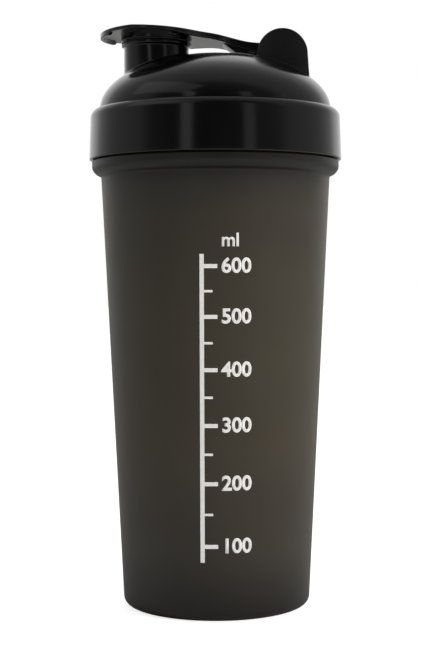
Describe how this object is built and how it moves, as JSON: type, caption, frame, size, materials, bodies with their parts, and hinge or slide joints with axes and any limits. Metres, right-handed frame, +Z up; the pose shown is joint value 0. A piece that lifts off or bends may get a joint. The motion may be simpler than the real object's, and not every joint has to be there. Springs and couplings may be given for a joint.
{
  "type": "protein shaker bottle",
  "caption": "Tapered smoked cup with a screw-on domed lid, pouring spout, hinged flip cap, seals and an inner mixing grid.",
  "frame": {"origin": "centre of the base, on the surface the bottle stands on", "axes": "+Z up along the bottle's axis, spout towards -X, flip cap hinge towards +X"},
  "size_m": [0.1, 0.1, 0.2265],
  "materials": {
    "smoked_polypropylene": "smoked translucent polypropylene, fine frosted moulding",
    "gloss_black_polypropylene": "polished injection moulding",
    "gloss_black_cap_polypropylene": "polished injection moulding",
    "grey_silicone": "moulded silicone",
    "grey_silicone_plug": "moulded silicone",
    "black_grid_polypropylene": "satin injection moulding"
  },
  "bodies": {
    "cup": {"cup": "smoked_polypropylene"},
    "seal_ring": {"lid_seal": "grey_silicone"},
    "lid": {"lid": "gloss_black_polypropylene", "mixing_grid": "black_grid_polypropylene"},
    "flip_cap": {"flip_cap": "gloss_black_cap_polypropylene", "spout_seal": "grey_silicone_plug"}
  },
  "joints": [
    {"name": "lid_rise", "type": "slide", "parent": "cup", "child": "seal_ring", "axis": [0, 0, 1], "range_m": [0, 0.018]},
    {"name": "lid_turn", "type": "hinge", "parent": "seal_ring", "child": "lid", "pos_m": [0, 0, 0.19], "axis": [0, 0, 1], "range_deg": [0, 1080]},
    {"name": "cap_hinge", "type": "hinge", "parent": "lid", "child": "flip_cap", "pos_m": [0.0263, 0, 0.2174], "axis": [0, 1, 0], "range_deg": [0, 180]}
  ],
  "couplings": [
    {"joint": "lid_rise", "follows": "lid_turn", "m_per_rad": 0.00095493}
  ]
}
